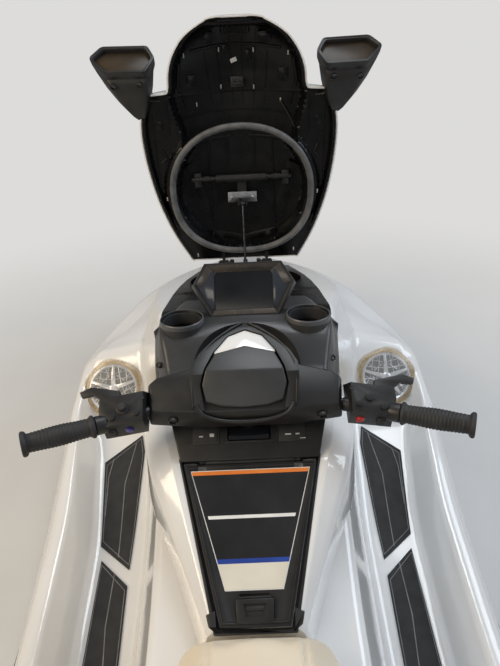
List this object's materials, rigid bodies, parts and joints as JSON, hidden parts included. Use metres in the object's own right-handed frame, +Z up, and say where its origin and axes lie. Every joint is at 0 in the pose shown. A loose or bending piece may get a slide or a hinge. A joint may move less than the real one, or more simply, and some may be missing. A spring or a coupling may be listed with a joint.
{
  "type": "personal watercraft",
  "caption": "Three-seat personal watercraft with an open front hood, round storage tub, dash with cup holders, handlebar, speakers and jet drive.",
  "frame": {"origin": "on the centre plane at mid length, at the height of the still water", "axes": "+X to starboard, +Y to the bow, +Z up"},
  "size_m": [1.254, 3.607, 1.686],
  "materials": {
    "gelcoat_white": "gloss",
    "hull_white": "gloss",
    "satin_black": "satin",
    "dark_grey": "satin",
    "liner_black": "textured",
    "rubber": "matt",
    "grey_rubber": "matt",
    "seat_cream": "vinyl",
    "steel": "brushed",
    "chrome": "polished",
    "mirror_glass": "polished",
    "screen_glass": "gloss",
    "aluminium": "cast",
    "mat_black": "foam",
    "engine_grey": "cast"
  },
  "bodies": {
    "craft": {"hull": "hull_white", "deck": "gelcoat_white", "storage_tub": "liner_black", "rub_rail": "satin_black", "hood_hinge_base": "satin_black", "strut_clevis": "steel", "dash_console": "dark_grey", "display_bezel": "satin_black", "display_screen": "screen_glass", "steering_column": "satin_black", "front_fairing": "gelcoat_white", "glovebox_bin": "liner_black", "lower_console": "satin_black", "front_seat": "seat_cream", "rear_seat": "seat_cream", "deck_mats": "mat_black", "speakers": "chrome", "grab_handle": "satin_black", "metal_fittings": "steel", "jet_pump": "aluminium", "ride_plate": "aluminium", "sponsons": "satin_black", "engine_block": "engine_grey"},
    "hood": {"hood_shell": "gelcoat_white", "hood_liner": "liner_black", "hood_seal": "grey_rubber", "hood_hinge_arm": "steel", "hood_frame": "steel", "mirror_housings": "satin_black", "mirror_glasses": "mirror_glass"},
    "strut_body": {"strut_barrel": "satin_black"},
    "strut_piston": {"strut_rod": "chrome"},
    "steering_head": {"steering_cover": "satin_black", "handle_pad": "dark_grey", "steering_arch": "satin_black", "arch_insert": "gelcoat_white", "handlebar": "steel", "grips": "rubber", "switch_boxes": "satin_black"},
    "box_lid": {"glovebox_lid": "satin_black", "glovebox_latch": "dark_grey"},
    "nozzle": {"steering_nozzle": "aluminium"},
    "pump_rotor": {"impeller": "steel"},
    "bucket": {"reverse_bucket": "satin_black"},
    "step": {"boarding_step": "steel"}
  },
  "joints": [
    {"name": "hood_hinge", "type": "hinge", "parent": "craft", "child": "hood", "pos_m": [0, 1.5, 0.52], "axis": [1, 0, 0], "range_deg": [0, 72]},
    {"name": "strut_pivot", "type": "hinge", "parent": "craft", "child": "strut_body", "pos_m": [0, 1.32, 0.33], "axis": [1, 0, 0], "range_deg": [0, 35]},
    {"name": "strut_slide", "type": "slide", "parent": "strut_body", "child": "strut_piston", "axis": [0, 0.4347, 0.9006], "range_m": [-0.19, 0]},
    {"name": "steering", "type": "hinge", "parent": "craft", "child": "steering_head", "pos_m": [0, 0.3, 0.79], "axis": [0, -0.4695, 0.8829], "range_deg": [-22, 22]},
    {"name": "nozzle_pivot", "type": "hinge", "parent": "craft", "child": "nozzle", "pos_m": [0, -1.68, -0.112], "axis": [0, 0, 1], "range_deg": [-20, 20]},
    {"name": "glovebox_hinge", "type": "hinge", "parent": "craft", "child": "box_lid", "pos_m": [0, 0.235, 0.692], "axis": [-1, 0, 0], "range_deg": [0, 65]},
    {"name": "impeller_shaft", "type": "hinge", "parent": "craft", "child": "pump_rotor", "pos_m": [0, -1.44, -0.112], "axis": [0, 1, 0], "continuous": true},
    {"name": "bucket_pivot", "type": "hinge", "parent": "craft", "child": "bucket", "pos_m": [0, -1.68, -0.112], "axis": [1, 0, 0], "range_deg": [0, 85]},
    {"name": "step_pivot", "type": "hinge", "parent": "craft", "child": "step", "pos_m": [-0.3, -1.803, 0.006], "axis": [1, 0, 0], "range_deg": [0, 160]}
  ],
  "couplings": [
    {"joint": "strut_pivot", "follows": "hood_hinge", "ratio": 0.475},
    {"joint": "strut_slide", "follows": "hood_hinge", "m_per_rad": -0.1477},
    {"joint": "nozzle_pivot", "follows": "steering", "ratio": -0.9}
  ]
}
